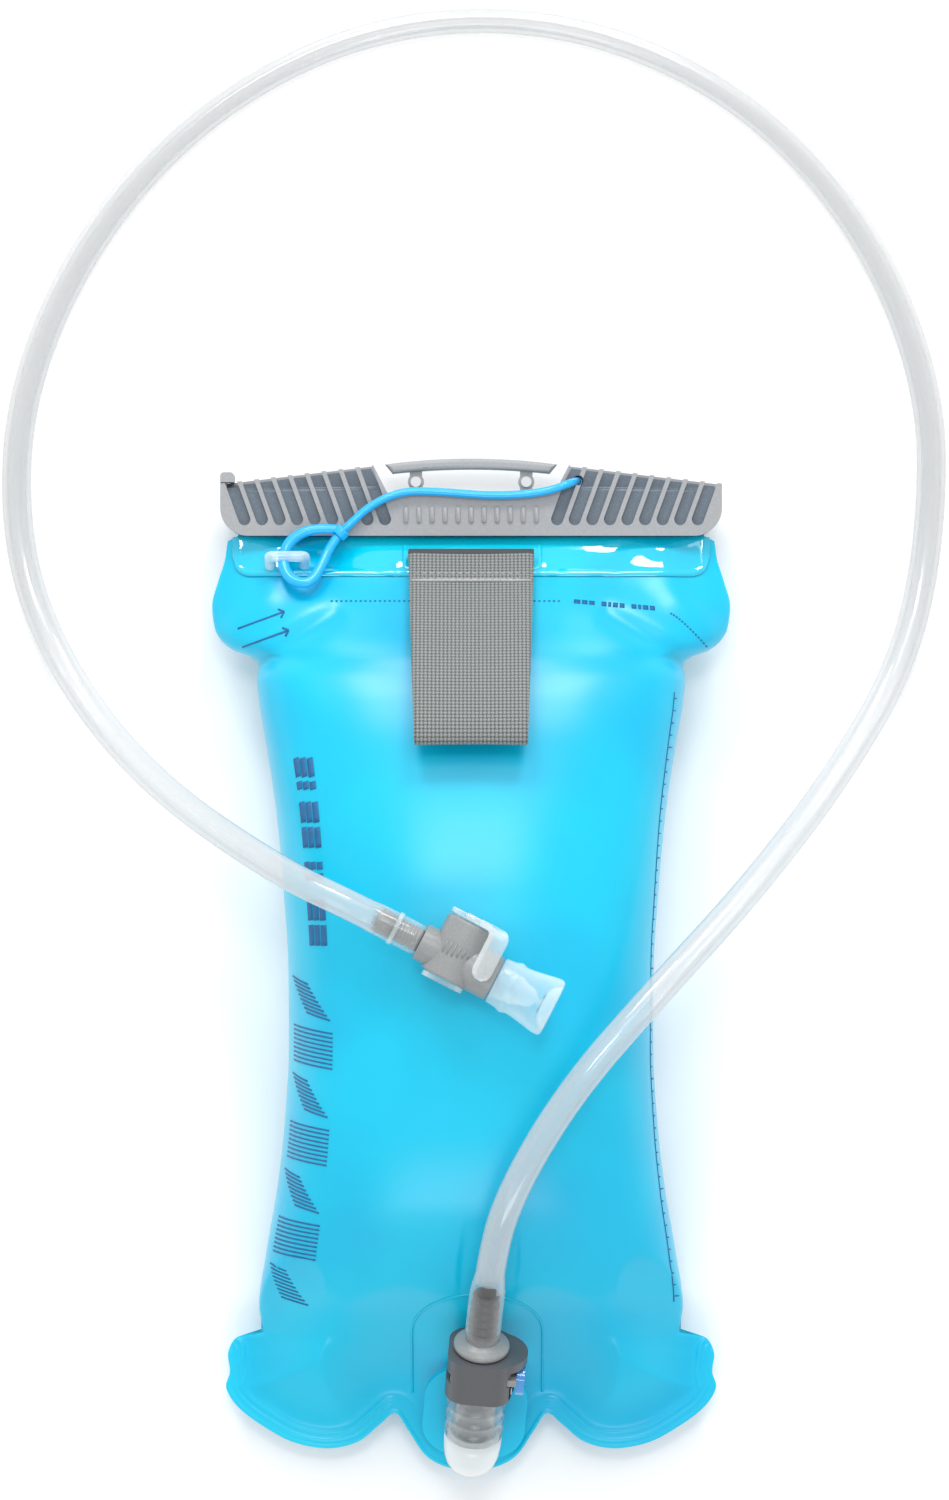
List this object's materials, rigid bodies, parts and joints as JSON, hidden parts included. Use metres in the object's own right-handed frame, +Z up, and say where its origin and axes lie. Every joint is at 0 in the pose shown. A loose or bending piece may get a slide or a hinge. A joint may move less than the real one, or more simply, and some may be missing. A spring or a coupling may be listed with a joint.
{
  "type": "hydration bladder",
  "caption": "Filled flexible water bag with a full-width slide closure, carry grip, hang strap, tethered closure, quick-release outlet, long drinking tube, quarter-turn shut-off and bite valve",
  "frame": {"origin": "middle of the bag's bounding box on the surface that it lies on, measured without the free tube and its valve", "axes": "+Z up from the surface, +Y from the outlet end towards the slide closure, +X to the right seen from above"},
  "size_m": [0.3065, 0.4758, 0.0993],
  "materials": {
    "film": "frosted translucent aqua polyurethane film, welded",
    "gloss_film": "clear glossy reinforcing film",
    "webbing": "woven grey narrow webbing",
    "clear_moulding": "smoke-clear glossy moulded plastic",
    "blue_cord": "blue moulded elastomer",
    "light_grey": "pale grey textured moulded plastic",
    "slate": "slate grey moulded plastic",
    "mid_grey": "mid grey moulded plastic",
    "dark_grey": "charcoal moulded plastic",
    "spring_steel": "stainless spring wire and strip",
    "seal": "black rubber seal",
    "hose": "clear pale blue flexible tube",
    "silicone": "translucent soft silicone"
  },
  "bodies": {
    "bag": {"bag_body": "film", "gloss_band": "gloss_film", "strap_patch": "gloss_film", "tether_eyelet": "clear_moulding", "tether_loop": "blue_cord", "port_base": "film", "port_socket": "clear_moulding", "latch_housing": "mid_grey", "latch_spring": "spring_steel", "poppet_spring": "spring_steel"},
    "closure": {"slider_back": "light_grey", "slider_core": "slate", "slider_front": "light_grey", "carry_grip": "light_grey", "grip_pins": "spring_steel", "tether": "blue_cord", "tether_stopper": "blue_cord"},
    "strap": {"hang_strap": "webbing"},
    "latch": {"latch_plate": "mid_grey", "latch_button": "clear_moulding"},
    "poppet": {"port_poppet": "dark_grey"},
    "plug": {"plug_stem": "dark_grey", "plug_o_rings": "seal", "drink_tube": "hose", "valve_barb": "mid_grey", "tube_ring": "clear_moulding", "valve_body": "mid_grey", "bite_sleeve": "silicone"},
    "shutoff": {"shutoff_spindle": "clear_moulding", "spindle_rings": "seal", "shutoff_lever": "clear_moulding"}
  },
  "joints": [
    {"name": "closure_slide", "type": "slide", "parent": "bag", "child": "closure", "axis": [1, 0, 0], "range_m": [-0.165, 0], "deforming": ["tether"]},
    {"name": "strap_lift", "type": "hinge", "parent": "bag", "child": "strap", "pos_m": [0, 0.13238, 0.02723], "axis": [-1, 0, 0], "range_deg": [0, 75]},
    {"name": "latch_press", "type": "slide", "parent": "bag", "child": "latch", "axis": [-0.9959, 0.0906, 0], "range_m": [0, 0.0017], "stiffness_N_per_m": 600, "springref_m": -0.003, "deforming": ["latch_spring"]},
    {"name": "plug_pull", "type": "slide", "parent": "bag", "child": "plug", "axis": [0.0769, 0.8446, 0.5299], "range_m": [0, 0.032], "deforming": ["poppet_spring"]},
    {"name": "poppet_close", "type": "slide", "parent": "bag", "child": "poppet", "axis": [0.0769, 0.8446, 0.5299], "range_m": [0, 0.0032]},
    {"name": "shutoff_turn", "type": "hinge", "parent": "plug", "child": "shutoff", "pos_m": [-0.00533, 0.00411, 0.086], "axis": [-0.4571, -0.8894, 0], "range_deg": [0, 90]}
  ],
  "couplings": [
    {"joint": "poppet_close", "follows": "plug_pull", "ratio": 0.1}
  ]
}
